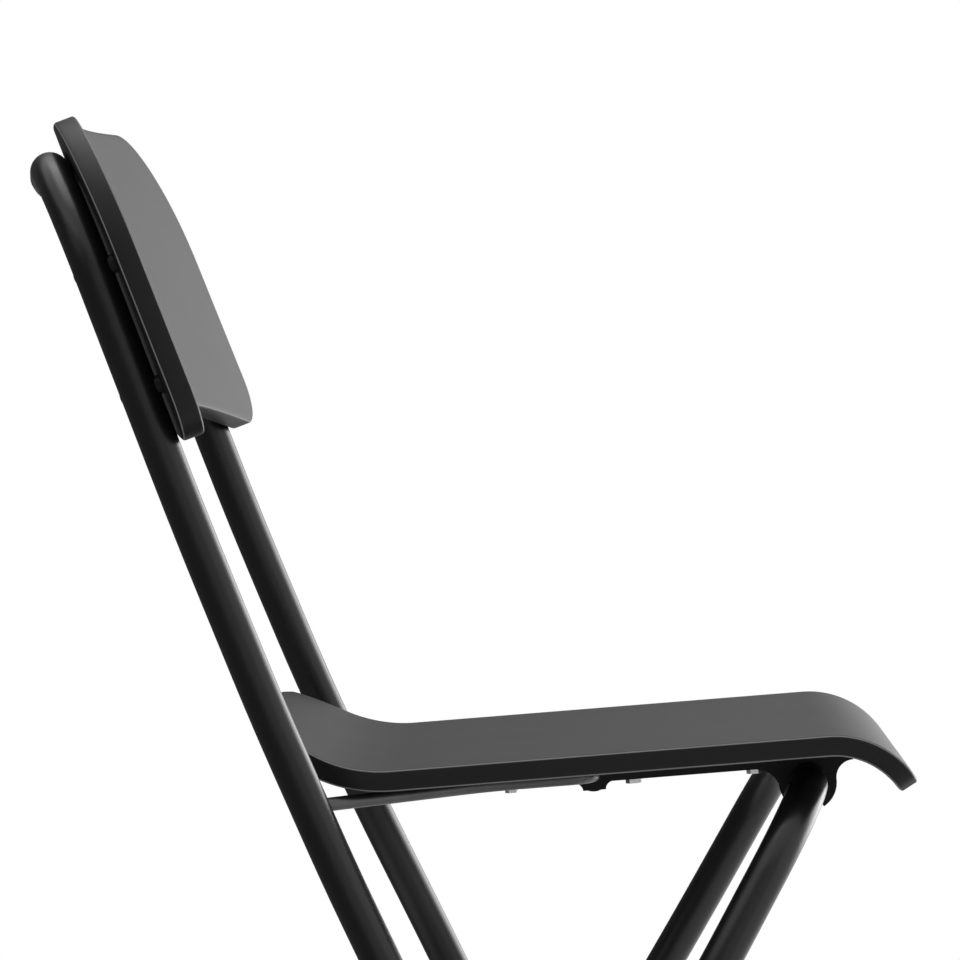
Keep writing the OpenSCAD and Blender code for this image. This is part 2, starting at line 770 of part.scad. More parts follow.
screw_places = [for (i = [0:2]) -blend(screw_back, screw_front, i / 2)];
seat_insert_l = 8;

module at_seat_screws() {
    in_seat_frame()
        for (sign = [-1, 1]) {
            for (x = screw_places) {
                translate([x, sign * bracket_y, axis_drop])
                    children();
            }
        }
}

module seat_panel() {
    color("#2b2b2d")
    difference() {
        in_seat_frame()
            intersection() {
                translate([0, seat_w / 2 + over, 0])
                    rotate([90, 0, 0])
                        linear_extrude(height = seat_w + 2 * over)
                            polygon(seat_profile);
                translate([0, 0, -seat_w / 2])
                    linear_extrude(height = seat_w)
                        seat_outline();
            }
        at_seat_screws()
            translate([0, 0, -over])
                cylinder(r = insert_r(seat_screw_d) + slip, h = over + seat_insert_l + gap);
    }
}

module seat_inserts() {
    color("#b08a3c")
    at_seat_screws()
        ring(insert_r(seat_screw_d), seat_screw_d / 2 + slip, seat_insert_l);
}

module bracket_screws() {
    color("#c4c4c6")
    at_seat_screws() {
        translate([0, 0, slip - strip_t - seat_screw_head_h])
            cylinder(r = seat_screw_af / 2 / cos(30), h = seat_screw_head_h, $fn = 6);
        translate([0, 0, slip - strip_t])
            cylinder(r = seat_screw_d / 2, h = strip_t - slip + seat_insert_l - gap);
    }
}

// Bracket seen from the side: a strip, a claw round the top tube and a hump round the stay
strip_low = axis_drop - strip_t;
claw_fillet = 12;
tongue_fillet = 9;
hump_fillet = 4;
claw_fillet_c = [-sqrt(pow(claw_r + claw_fillet, 2) - pow(strip_low - claw_fillet, 2)),
    strip_low - claw_fillet];
tongue_fillet_z = 1;
tongue_fillet_c = [sqrt(pow(claw_r + tongue_fillet, 2) - pow(tongue_fillet_z, 2)), tongue_fillet_z];
hump_fillet_dx = sqrt(pow(hump_r + hump_fillet, 2) - pow(stay_z - strip_low + hump_fillet, 2));

module bracket_profile() {
    difference() {
        union() {
            translate([-strip_back, strip_low])
                square([strip_back + seat_flat_front, strip_t]);
            // Web between the claw and the strip
            difference() {
                intersection() {
                    translate([claw_fillet_c[0], tongue_fillet_z])
                        square([strip_front - claw_fillet_c[0], axis_drop - tongue_fillet_z]);
                    union() {
                        translate([claw_fillet_c[0], -axis_drop])
                            square([seat_flat_front - claw_fillet_c[0], 2 * axis_drop]);
                        translate([seat_flat_front, seat_top - nose_r])
                            circle(r = nose_r - seat_t - fit, $fn = 256);
                    }
                }
                translate(claw_fillet_c)
                    circle(r = claw_fillet);
                translate(tongue_fillet_c)
                    circle(r = tongue_fillet);
            }
            circle(r = claw_r);
            // Hump with its two hollow corners
            translate([-stay_back, 0]) {
                translate([0, stay_z])
                    circle(r = hump_r);
                difference() {
                    translate([-hump_fillet_dx, strip_low - hump_fillet])
                        square([2 * hump_fillet_dx, hump_fillet + strip_t / 2]);
                    for (sign = [-1, 1]) {
                        translate([sign * hump_fillet_dx, strip_low - hump_fillet])
                            circle(r = hump_fillet);
                    }
                }
            }
        }
        // Bore for the top tube, open at the bottom
        circle(r = tube_r + fit);
        polygon([[0, 0], 2 * claw_r * [-tan(claw_gap_half), -1], 2 * claw_r * [tan(claw_gap_half), -1]]);
        // Groove for the stay, open to the seat
        translate([-stay_back, stay_z])
            circle(r = rod_r + fit);
        translate([-stay_back - rod_r - fit, stay_z])
            square([rod_d + 2 * fit, axis_drop]);
        // Nothing of the hump stands above the seat's underside
        translate([-strip_back - over, axis_drop])
            square([strip_back + seat_flat_front + over, strip_t]);
    }
}

module seat_bracket(sign) {
    color("#141414")
    in_seat_frame()
        difference() {
            translate([0, sign * bracket_y + bracket_w / 2, 0])
                rotate([90, 0, 0])
                    linear_extrude(height = bracket_w)
                        bracket_profile();
            for (x = screw_places) {
                translate([x, sign * bracket_y, -axis_drop]) {
                    cylinder(r = seat_screw_d / 2 + fit, h = 3 * axis_drop);
                    // Flat seat for the screw's head
                    cylinder(r = seat_screw_af / 2 / cos(30) + fit, h = axis_drop + strip_low + slip);
                }
            }
        }
}

module seat_bracket_left() {
    seat_bracket(1);
}

module seat_bracket_right() {
    seat_bracket(-1);
}

// The stay is a bent rod: pins at the uprights, arms that draw in, and a cross part under the seat
function on_stay(run, y) = with_y(stay_p - run * [cos(seat_slope), 0, sin(seat_slope)], y);
stay_half_path = [on_stay(stay_run, stay_tip_y), on_stay(stay_run, stay_tip_y - stay_pin_l),
    on_stay(stay_straight, stay_half_w), on_stay(0, stay_half_w)];
stay_path = concat(stay_half_path, [for (i = [3:-1:0]) flip(stay_half_path[i])]);
stay_bends = [0, stay_bend_r, stay_elbow_r, stay_corner_r, stay_corner_r, stay_elbow_r, stay_bend_r, 0];

module folding_stay() {
    color("#4a4a4c")
    bent_bar(stay_path, stay_bends, rod_r);
}

back_frame_tube();
footrest_bar();
front_foot_left();
front_foot_right();
backrest_panel();
backrest_screws();
backrest_inserts();
backrest_spacers();
crossing_bolts();
crossing_washers();
crossing_nuts();
stay_bushes();
rear_frame_tube();
rear_crossbar();
rear_foot_left();
rear_foot_right();
crossing_spacers();
seat_panel();
seat_bracket_left();
seat_bracket_right();
bracket_screws();
seat_inserts();
folding_stay();
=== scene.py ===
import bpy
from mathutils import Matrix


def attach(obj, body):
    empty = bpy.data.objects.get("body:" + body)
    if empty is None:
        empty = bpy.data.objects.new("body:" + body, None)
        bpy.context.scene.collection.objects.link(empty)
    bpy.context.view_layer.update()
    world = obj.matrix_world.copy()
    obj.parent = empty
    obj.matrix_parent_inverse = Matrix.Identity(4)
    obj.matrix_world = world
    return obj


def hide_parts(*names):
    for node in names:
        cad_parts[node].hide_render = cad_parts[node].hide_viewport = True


bl_info = {
    "name": "Folding bar stool",
    "version": (1, 0, 0),
    "blender": (4, 5, 0),
    "location": "3D View > Sidebar > Bar stool",
    "description": "Dresses the folding bar stool's frame, seat and backrest, and sets its studio",
    "category": "Add Mesh",
}

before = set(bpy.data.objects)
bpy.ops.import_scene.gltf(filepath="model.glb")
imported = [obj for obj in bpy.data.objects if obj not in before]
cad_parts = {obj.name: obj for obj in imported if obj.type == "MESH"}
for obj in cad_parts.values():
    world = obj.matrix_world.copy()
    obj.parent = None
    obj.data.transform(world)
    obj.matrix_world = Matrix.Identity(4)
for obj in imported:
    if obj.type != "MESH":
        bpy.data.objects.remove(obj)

import math

import bmesh
import bpy
from bpy.props import FloatProperty, FloatVectorProperty, PointerProperty
from mathutils import Matrix, Vector

MM = 0.001

# Corners of the tubes' axes on the left side (x, y, z) with the radius of each bend, in millimetres
BACK_TUBE = [
    (210.785, 226.500, 10.000, 0.0),
    (-27.865, 226.500, 495.000, 380.0),
    (-59.849, 218.000, 560.000, 1400.0),
    (-96.138, 208.500, 640.000, 950.0),
    (-135.683, 202.000, 735.000, 1100.0),
    (-205.565, 202.000, 917.048, 60.0),
    (-227.342, 0.000, 908.689, 1224.0),
]
REAR_TUBE = [
    (-162.440, 199.500, 10.000, 0.0),
    (123.349, 199.500, 505.000, 300.0),
    (175.852, 177.000, 601.700, 60.0),
]
STAY_ROD = [
    (-75.386, 202.133, 594.252, 0.0),
    (-75.386, 193.133, 594.252, 8.0),
    (11.845, 142.000, 601.331, 60.0),
    (65.668, 142.000, 605.700, 12.0),
]
TUBE_R = 10.0
ROD_R = 3.5
# Lean of the front and the rear legs, and where they cross (x, z)
LEG_TILT = math.radians(26.2)
REAR_TILT = math.radians(30.0)
CROSS = (39.055, 359.0)
# Distance of the front and the rear legs' axes from the stool's middle
FRONT_HALF, REAR_HALF = 226.5, 199.5
# Height of the legs' lower ends, and of the two bars across them with their radii
LEG_END_Z = 10.0
FOOTREST_Z, FOOTREST_R = 226.0, 10.0
CROSSBAR_Z, CROSSBAR_R = 165.0, 8.0


# ---- Shapes


def mirrored(half):
    """The whole corner list of a tube, from the corners of its left side."""
    last = [] if abs(half[-1][1]) < 1e-6 else [half[-1]]
    other = [(x, -y, z, r) for x, y, z, r in (half[:-1] + last)[::-1]]
    return half + other


def rounded_line(corners, turn_step=2.0, run_step=25.0):
    """Points along a line whose corners are rounded to their radii."""
    pts = [Vector(c[:3]) for c in corners]
    line = [pts[0]]
    for i in range(1, len(pts) - 1):
        a = (pts[i] - pts[i - 1]).normalized()
        b = (pts[i + 1] - pts[i]).normalized()
        turn = a.angle(b)
        radius = corners[i][3]
        if turn < 1e-5:
            continue
        run = radius * math.tan(turn / 2)
        middle = (b - a).normalized()
        centre = pts[i] + middle * radius / math.cos(turn / 2)
        start = pts[i] - a * run - centre
        axis = a.cross(b).normalized()
        count = max(3, math.ceil(math.degrees(turn) / turn_step))
        for k in range(count + 1):
            line.append(centre + Matrix.Rotation(turn * k / count, 3, axis) @ start)
    line.append(pts[-1])
    fine = [line[0]]
    for p in line[1:]:
        gap = (p - fine[-1]).length
        parts = max(1, round(gap / run_step))
        fine += [fine[-1].lerp(p, k / parts) for k in range(1, parts + 1)]
    return fine


def add_mesh(name, verts, faces, material, smooth=True, scale=MM):
    """A piece from points and faces, in millimetres unless scale says otherwise."""
    mesh = bpy.data.meshes.new(name)
    mesh.from_pydata([tuple(Vector(v) * scale) for v in verts], [], faces)
    mesh.validate()
    if smooth:
        mesh.shade_smooth()
    mesh.materials.append(material)
    piece = bpy.data.objects.new(name, mesh)
    bpy.context.scene.collection.objects.link(piece)
    return piece


def swept(name, line, radius, material, sides=40, closed=False):
    """A round bar along a line of points; radius is a number, or a function of the share of the way."""
    n = len(line)
    size = radius if callable(radius) else lambda t: radius
    tangents = []
    for i in range(n):
        if closed:
            tangents.append((line[(i + 1) % n] - line[i - 1]).normalized())
        else:
            tangents.append((line[min(i + 1, n - 1)] - line[max(i - 1, 0)]).normalized())
    side = tangents[0].orthogonal().normalized()
    verts = []
    for i, (p, t) in enumerate(zip(line, tangents)):
        side = (side - t * side.dot(t)).normalized()
        up = t.cross(side)
        r = size(i / n)
        for k in range(sides):
            a = 2 * math.pi * k / sides
            verts.append(p + (side * math.cos(a) + up * math.sin(a)) * r)
    faces = []
    for i in range(n if closed else n - 1):
        for k in range(sides):
            a, b = i * sides + k, i * sides + (k + 1) % sides
            c, d = ((i + 1) % n) * sides + (k + 1) % sides, ((i + 1) % n) * sides + k
            faces.append((a, b, c, d))
    if closed:
        # The frame comes back turned, so the last ring is joined to the nearest of the first
        last = verts[-sides]
        shift = min(range(sides), key=lambda k: (verts[k] - last).length)
        faces = faces[: (n - 1) * sides]
        for k in range(sides):
            a, b = (n - 1) * sides + k, (n - 1) * sides + (k + 1) % sides
            faces.append((a, b, (k + 1 + shift) % sides, (k + shift) % sides))
    else:
        faces.append(tuple(range(sides))[::-1])
        faces.append(tuple(range((n - 1) * sides, n * sides)))
    return add_mesh(name, verts, faces, material)


def turned(name, outline, material, place, sides=56):
    """A turned piece from (radius, height) pairs, set in place by a matrix."""
    verts, faces = [], []
    for r, h in outline:
        for k in range(sides):
            a = 2 * math.pi * k / sides
            verts.append(place @ Vector((r * math.cos(a), r * math.sin(a), h)))
    for i in range(len(outline) - 1):
        for k in range(sides):
            a, b = i * sides + k, i * sides + (k + 1) % sides
            faces.append((a, b, b + sides, a + sides))
    faces.append(tuple(range(sides))[::-1])
    top = (len(outline) - 1) * sides
    faces.append(tuple(range(top, top + sides)))
    return add_mesh(name, verts, faces, material)


def arc(cx, cy, r, a0, a1, n, first=0):
    """Points first to n of an arc of n equal steps, with its angles in degrees."""
    turns = [math.radians(a0 + (a1 - a0) / n * i) for i in range(first, n + 1)]
    return [Vector((cx + r * math.cos(a), cy + r * math.sin(a))) for a in turns]


def respaced(line, count):
    """count + 1 points, evenly spread along a line."""
    runs = [0.0]
    for a, b in zip(line, line[1:]):
        runs.append(runs[-1] + (b - a).length)
    out, k = [], 0
    for i in range(count + 1):
        want = runs[-1] * i / count
        while k < len(runs) - 2 and runs[k + 1] < want:
            k += 1
        span = runs[k + 1] - runs[k] or 1.0
        out.append(line[k].lerp(line[k + 1], min(1.0, max(0.0, (want - runs[k]) / span))))
    return out


def board(name, sides, thick, edge, lay, material, rings=4):
    """A bent board with rounded edges. sides are the four edges of its flat outline, run round
    counter-clockwise, and lay sets a flat point and a depth in space."""
    low, right, top, left = sides
    nu, nv = len(low) - 1, len(right) - 1
    loop = low[:-1] + right[:-1] + top[:-1] + left[:-1]
    n = len(loop)
    normals = []
    for i in range(n):
        t = (loop[(i + 1) % n] - loop[i - 1]).normalized()
        normals.append(Vector((t.y, -t.x)))

    def inset(d):
        return [p - m * d for p, m in zip(loop, normals)]

    def filled(ring):
        """Grid of flat points inside a ring, blended from its four edges."""
        b, r = ring[: nu + 1], ring[nu: nu + nv + 1]
        t, l = ring[nu + nv: 2 * nu + nv + 1][::-1], (ring[2 * nu + nv:] + ring[:1])[::-1]
        grid = []
        for j in range(nv + 1):
            v = j / nv
            for i in range(nu + 1):
                u = i / nu
                flat = b[i] * (1 - v) + t[i] * v + l[j] * (1 - u) + r[j] * u
                flat -= (b[0] * (1 - u) + b[nu] * u) * (1 - v) + (t[0] * (1 - u) + t[nu] * u) * v
                grid.append(flat)
        return grid

    # Grid indices of the ring's points
    rim = [i for i in range(nu)] + [j * (nu + 1) + nu for j in range(nv)]
    rim += [nv * (nu + 1) + i for i in range(nu, 0, -1)] + [j * (nu + 1) for j in range(nv, 0, -1)]
    inner = filled(inset(edge))
    count = len(inner)
    verts = [lay(p, 0.0) for p in inner] + [lay(p, thick) for p in inner]
    faces = []
    for j in range(nv):
        for i in range(nu):
            a = j * (nu + 1) + i
            quad = (a, a + 1, a + nu + 2, a + nu + 1)
            faces.append(quad)
            faces.append(tuple(count + q for q in quad[::-1]))
    before = rim
    highlight_verts = []
    for k in range(1, 2 * rings + 2):
        if k <= rings:
            a = math.pi / 2 * k / rings
            d, h = edge * (1 - math.sin(a)), edge * (1 - math.cos(a))
        else:
            a = math.pi / 2 * (2 * rings + 1 - k) / rings
            d, h = edge * (1 - math.sin(a)), thick - edge * (1 - math.cos(a))
        if k == 2 * rings + 1:
            now = [count + q for q in rim]
        else:
            now = list(range(len(verts), len(verts) + n))
            verts += [lay(p, h) for p in inset(d)]
            # One ring near each face gets the painted edge highlight
            highlight_verts += now if k in (2, 2 * rings - 1) else []
        for i in range(n):
            m = (i + 1) % n
            faces.append((before[i], now[i], now[m], before[m]))
        before = now
    piece = add_mesh(name, verts, faces, material)
    # A mask that is 1 on those rings, for the painted edge highlight in the lacquer
    highlight_mask = piece.data.attributes.new("painted_edge_highlight", "FLOAT", "POINT")
    for i in highlight_verts:
        highlight_mask.data[i].value = 1.0
    return piece


def round_sheet(name, profile, material, start=0.0, sweep=360.0, parts=64):
    """A wide sheet round the stool from (radius, height) pairs in metres, and angles in degrees."""
    verts, faces = [], []
    for r, z in profile:
        for k in range(parts + 1):
            a = math.radians(start + sweep * k / parts)
            verts.append((r * math.cos(a), r * math.sin(a), z))
    for i in range(len(profile) - 1):
        for k in range(parts):
            a = i * (parts + 1) + k
            faces.append((a, a + parts + 1, a + parts + 2, a + 1))
    return add_mesh(name, verts, faces, material, scale=1.0)


def soften(piece, width):
    """Joins a CAD piece's split edges and rounds its sharp ones, to a width in metres."""
    weld = piece.modifiers.new("Join", "WELD")
    weld.merge_threshold = 0.00001
    bevel = piece.modifiers.new("Soft edges", "BEVEL")
    bevel.width = width
    bevel.segments = 2
    bevel.limit_method = "ANGLE"
    bevel.angle_limit = math.radians(35.0)
    bevel.harden_normals = True


def finish_node(node, material, width=0.0):
    """Gives a CAD node its material, and soft edges where a width is given."""
    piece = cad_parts[node]
    piece.data.materials.clear()
    piece.data.materials.append(material)
    if width:
        soften(piece, width)


# ---- Finishes


class Value:
    """A shader socket that takes part in sums."""

    def __init__(self, finish, socket):
        self.finish, self.socket = finish, socket

    def sum(self, operation, a, b):
        return self.finish.node("ShaderNodeMath", {"operation": operation}, {0: a, 1: b})

    def __add__(self, other):
        return self.sum("ADD", self, other)

    def __radd__(self, other):
        return self.sum("ADD", other, self)

    def __sub__(self, other):
        return self.sum("SUBTRACT", self, other)

    def __rsub__(self, other):
        return self.sum("SUBTRACT", other, self)

    def __mul__(self, other):
        return self.sum("MULTIPLY", self, other)

    def __rmul__(self, other):
        return self.sum("MULTIPLY", other, self)


class Finish:
    """A material, or the world, and its nodes."""

    def __init__(self, material):
        self.material = material
        material.use_nodes = True
        self.tree = material.node_tree
        self.tree.nodes.clear()

    def node(self, kind, settings=None, inputs=None, out=0):
        """Adds a node, its settings first, with values or links at its inputs, and gives one output."""
        made = self.tree.nodes.new(kind)
        for key, value in (settings or {}).items():
            setattr(made, key, value)
        for key, value in (inputs or {}).items():
            socket = made.inputs[key]
            if isinstance(value, Value):
                self.tree.links.new(value.socket, socket)
            else:
                socket.default_value = value
        return None if out is None else Value(self, made.outputs[out])

    def place(self, scale=(1, 1, 1)):
        """Position on the object, in metres."""
        point = self.node("ShaderNodeTexCoord", out="Object")
        return self.node("ShaderNodeMapping", inputs={"Vector": point, "Scale": scale})

    def noise(self, scale, detail=2.0, roughness=0.5, at=None):
        """Soft noise, from 0 to 1, with scale features a metre."""
        return self.node(
            "ShaderNodeTexNoise",
            inputs={"Vector": at or self.place(), "Scale": scale, "Detail": detail, "Roughness": roughness},
        )

    def mixed(self, mask, a, b):
        """Colour a where the mask is 0, and b where it is 1."""
        return self.node("ShaderNodeMix", {"data_type": "RGBA"}, {0: mask, 6: a, 7: b}, out=2)

    def bump(self, height, strength, distance):
        """Normals of a relief, with its greatest height in metres."""
        return self.node("ShaderNodeBump", inputs={"Strength": strength, "Distance": distance, "Height": height})

    def surface(self, **inputs):
        """Ends the material in one surface shader, whose inputs are named with underscores."""
        names = {key.replace("_", " "): value for key, value in inputs.items()}
        shader = self.node("ShaderNodeBsdfPrincipled", inputs=names)
        self.node("ShaderNodeOutputMaterial", inputs={"Surface": shader}, out=None)
        return self.material


FINISHES = {}


def finish(name, make):
    """The material of that name, made once."""
    if name not in FINISHES:
        FINISHES[name] = make(Finish(bpy.data.materials.new(name)))
    return FINISHES[name]


def rgba(colour, share=1.0):
    """A set colour, made darker or lighter by a share."""
    return (*(part * share for part in colour), 1.0)


def tube_paint(f):
    """Black powder coat: soft orange peel, and fine dust in the gloss."""
    c = bpy.context.scene.stool_finishes
    peel = f.noise(620.0, 2.0)
    fine = f.noise(2600.0, 1.0)
    cloud = f.noise(9.0, 3.0)
    tone = f.mixed(cloud, rgba(c.frame_colour, 0.85), rgba(c.frame_colour, 1.2))
    gloss = c.frame_roughness - 0.03 + cloud * 0.06 + fine * 0.02
    return f.surface(
        Base_Color=tone, Roughness=gloss, IOR=1.5, Specular_IOR_Level=0.45,
        Normal=f.bump(peel * 0.8 + fine * 0.2, 0.18, 0.00025),
    )


def board_lacquer(f):
    """Satin black lacquer, with the wood's long pores just showing through."""
    c = bpy.context.scene.stool_finishes
    pores = f.noise(1.0, 4.0, 0.6, at=f.place((900.0, 45.0, 900.0)))
    silk = f.noise(1500.0, 2.0)
    cloud = f.noise(7.0, 3.0)
    tone = f.mixed(cloud, rgba(c.board_colour, 0.9), rgba(c.board_colour, 1.12))
    # Painted highlight: the rounded edges are given a lighter colour, which shows as fine lighter lines where they
    # would catch the light
    highlight_mask = f.node("ShaderNodeAttribute", {"attribute_name": "painted_edge_highlight"}, out="Fac")
    tone = f.mixed(highlight_mask, tone, rgba(c.highlight_colour))
    gloss = c.board_roughness - 0.03 + cloud * 0.05 + silk * 0.02
    return f.surface(
        Base_Color=tone, Roughness=gloss, IOR=1.5, Specular_IOR_Level=0.2,
        Normal=f.bump(pores * 0.6 + silk * 0.4, 0.08, 0.0002),
    )


def moulded_plastic(f):
    """Black moulded plastic with a fine spark-eroded grain."""
    c = bpy.context.scene.stool_finishes
    grain = f.noise(1900.0, 3.0, 0.6)
    flow = f.noise(30.0, 2.0)
    tone = f.mixed(flow, rgba(c.plastic_colour, 0.85), rgba(c.plastic_colour, 1.2))
    return f.surface(
        Base_Color=tone, Roughness=0.42 + grain * 0.16, IOR=1.48, Specular_IOR_Level=0.2,
        Normal=f.bump(grain, 0.25, 0.00015),
    )


def coated_rod(f):
    """Grey coated steel rod, drawn lines along it and a little rubbed."""
    c = bpy.context.scene.stool_finishes
    drawn = f.noise(1.0, 3.0, 0.6, at=f.place((60.0, 1400.0, 1400.0)))
    rub = f.noise(55.0, 3.0)
    tone = f.mixed(rub, rgba(c.rod_colour, 0.8), rgba(c.rod_colour, 1.3))
    return f.surface(
        Base_Color=tone, Metallic=0.85, Roughness=0.3 + drawn * 0.12,
        Normal=f.bump(drawn, 0.12, 0.0001),
    )


def zinc_plate(f):
    """Bright zinc plate with fine turning marks."""
    marks = f.noise(1.0, 3.0, 0.6, at=f.place((2200.0, 2200.0, 500.0)))
    stain = f.noise(160.0, 2.0)
    tone = f.mixed(stain, (0.72, 0.72, 0.73, 1), (0.9, 0.9, 0.91, 1))
    return f.surface(
        Base_Color=tone, Metallic=1.0, Roughness=0.22 + stain * 0.16,
        Normal=f.bump(marks, 0.15, 0.0001),
    )


def blackened_steel(f):
    """Blackened screw steel, worn a little brighter in places."""
    wear = f.noise(420.0, 3.0, 0.6)
    tone = f.mixed(wear, (0.012, 0.012, 0.012, 1), (0.035, 0.034, 0.033, 1))
    return f.surface(
        Base_Color=tone, Metallic=0.6, Roughness=0.34 + wear * 0.15,
        Normal=f.bump(wear, 0.1, 0.0001),
    )


def turned_brass(f):
    """Plain brass with turning marks."""
    marks = f.noise(1.0, 3.0, 0.6, at=f.place((2000.0, 2000.0, 400.0)))
    tone = f.mixed(marks, (0.5, 0.36, 0.14, 1), (0.66, 0.5, 0.22, 1))
    return f.surface(
        Base_Color=tone, Metallic=1.0, Roughness=0.25 + marks * 0.12,
        Normal=f.bump(marks, 0.12, 0.0001),
    )


def weld_bead(f):
    """Weld ripples under the same black coat as the tubes."""
    c = bpy.context.scene.stool_finishes
    ripple = f.noise(260.0, 2.0)
    tone = f.mixed(ripple, rgba(c.frame_colour, 0.8), rgba(c.frame_colour, 1.3))
    return f.surface(
        Base_Color=tone, Roughness=c.frame_roughness + ripple * 0.1, IOR=1.5, Specular_IOR_Level=0.2,
        Normal=f.bump(ripple, 0.5, 0.0006),
    )


# ---- Settings


class StoolSizes(bpy.types.PropertyGroup):
    """Sizes of the stool's dressed pieces"""

    seat_edge: FloatProperty(
        name="Seat edge", description="Radius of the seat's rounded edges",
        default=0.0016, min=0.0005, max=0.003, subtype="DISTANCE", unit="LENGTH",
    )
    back_edge: FloatProperty(
        name="Backrest edge", description="Radius of the backrest's rounded edges",
        default=0.0016, min=0.0005, max=0.003, subtype="DISTANCE", unit="LENGTH",
    )
    weld_size: FloatProperty(
        name="Weld size", description="Thickness of the weld beads at the crossbars",
        default=0.0034, min=0.001, max=0.006, subtype="DISTANCE", unit="LENGTH",
    )


class StoolFinishes(bpy.types.PropertyGroup):
    """Colours and gloss of the stool's finishes"""

    frame_colour: FloatVectorProperty(
        name="Frame colour", description="Powder coat of the tubes", default=(0.005, 0.005, 0.0052),
        min=0.0, max=1.0, subtype="COLOR",
    )
    frame_roughness: FloatProperty(
        name="Frame roughness", description="Roughness of the powder coat",
        default=0.3, min=0.0, max=1.0, subtype="FACTOR",
    )
    board_colour: FloatVectorProperty(
        name="Seat colour", description="Lacquer of the seat and the backrest", default=(0.009, 0.009, 0.009),
        min=0.0, max=1.0, subtype="COLOR",
    )
    # Colour of the painted highlight along the boards' rounded edges
    highlight_colour: FloatVectorProperty(
        name="Edge colour", description="Thin lacquer along the edges", default=(0.2, 0.2, 0.2),
        min=0.0, max=1.0, subtype="COLOR",
    )
    board_roughness: FloatProperty(
        name="Seat roughness", description="Roughness of the lacquer",
        default=0.42, min=0.0, max=1.0, subtype="FACTOR",
    )
    plastic_colour: FloatVectorProperty(
        name="Plastic colour", description="Brackets, feet and bushes", default=(0.006, 0.006, 0.006),
        min=0.0, max=1.0, subtype="COLOR",
    )
    rod_colour: FloatVectorProperty(
        name="Stay colour", description="Coat of the bent stay under the seat", default=(0.09, 0.09, 0.092),
        min=0.0, max=1.0, subtype="COLOR",
    )


# ---- Pieces


class STOOL_OT_back_frame(bpy.types.Operator):
    """Draws the back frame's one long bent tube"""

    bl_idname = "stool.back_frame"
    bl_label = "Back frame"

    def execute(self, context):
        line = rounded_line(mirrored(BACK_TUBE))
        tube = swept("back_frame_skin", line, TUBE_R, finish("tube paint", tube_paint))
        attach(tube, "back_frame")
        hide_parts("back_frame_tube")
        return {"FINISHED"}


class STOOL_OT_rear_frame(bpy.types.Operator):
    """Draws the rear frame's bent tube"""

    bl_idname = "stool.rear_frame"
    bl_label = "Rear frame"

    def execute(self, context):
        line = rounded_line(mirrored(REAR_TUBE))
        tube = swept("rear_frame_skin", line, TUBE_R, finish("tube paint", tube_paint))
        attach(tube, "rear_frame")
        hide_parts("rear_frame_tube")
        return {"FINISHED"}


class STOOL_OT_stay(bpy.types.Operator):
    """Draws the bent rod under the seat"""

    bl_idname = "stool.stay"
    bl_label = "Folding stay"

    def execute(self, context):
        line = rounded_line(mirrored(STAY_ROD), run_step=12.0, turn_step=5.0)
        rod = swept("folding_stay_rod", line, ROD_R, finish("coated rod", coated_rod), sides=28)
        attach(rod, "stay")
        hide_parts("folding_stay")
        return {"FINISHED"}


# The seat from the side, measured from the axis it folds about: its thickness, the height of
# its underside over the axis, and the front end and the length of its flat part
SEAT_T, AXIS_DROP, FLAT_FRONT, FLAT_LEN = 10.8, 16.8, 10.0, 220.1
# Its curl behind and its roll in front: radius, turn in degrees, and straight lip
CURL_R, CURL_TURN, CURL_LIP = 76.5, 29.3, 37.4
NOSE_R, NOSE_TURN, NOSE_LIP = 49.5, 61.6, 1.0
# The axis (x, z), and the slope of the flat part
SEAT_AXIS, SEAT_SLOPE = (175.852, 601.7), math.radians(4.64)


def seat_line():
    """The seat's upper face from the side: points with the way out of the face, from rear to front."""
    top, back = AXIS_DROP + SEAT_T, FLAT_FRONT - FLAT_LEN
    lip_steps, back_steps, nose_steps = 8, 32, 40
    line = []

    def add(x, z, turn):
        a = math.radians(turn)
        line.append((x, z, math.sin(a), math.cos(a)))

    # Turn is the slope of the way out of the face, from upright towards the front
    a = math.radians(CURL_TURN)
    cx, cz = back, top + CURL_R
    ex, ez = cx - CURL_R * math.sin(a), cz - CURL_R * math.cos(a)
    for k in range(lip_steps + 1):
        run = CURL_LIP * (1 - k / lip_steps)
        add(ex - run * math.cos(a), ez + run * math.sin(a), CURL_TURN)
    for k in range(1, back_steps + 1):
        t = CURL_TURN * (1 - k / back_steps)
        add(cx - CURL_R * math.sin(math.radians(t)), cz - CURL_R * math.cos(math.radians(t)), t)
    for k in range(1, back_steps + 1):
        add(back + FLAT_LEN * k / back_steps, top, 0.0)
    cx, cz = FLAT_FRONT, top - NOSE_R
    for k in range(1, nose_steps + 1):
        t = NOSE_TURN * k / nose_steps
        add(cx + NOSE_R * math.sin(math.radians(t)), cz + NOSE_R * math.cos(math.radians(t)), t)
    a = math.radians(NOSE_TURN)
    ex, ez = cx + NOSE_R * math.sin(a), cz + NOSE_R * math.cos(a)
    for k in range(1, lip_steps + 1):
        run = NOSE_LIP * k / lip_steps
        add(ex + run * math.cos(a), ez - run * math.sin(a), NOSE_TURN)
    return line


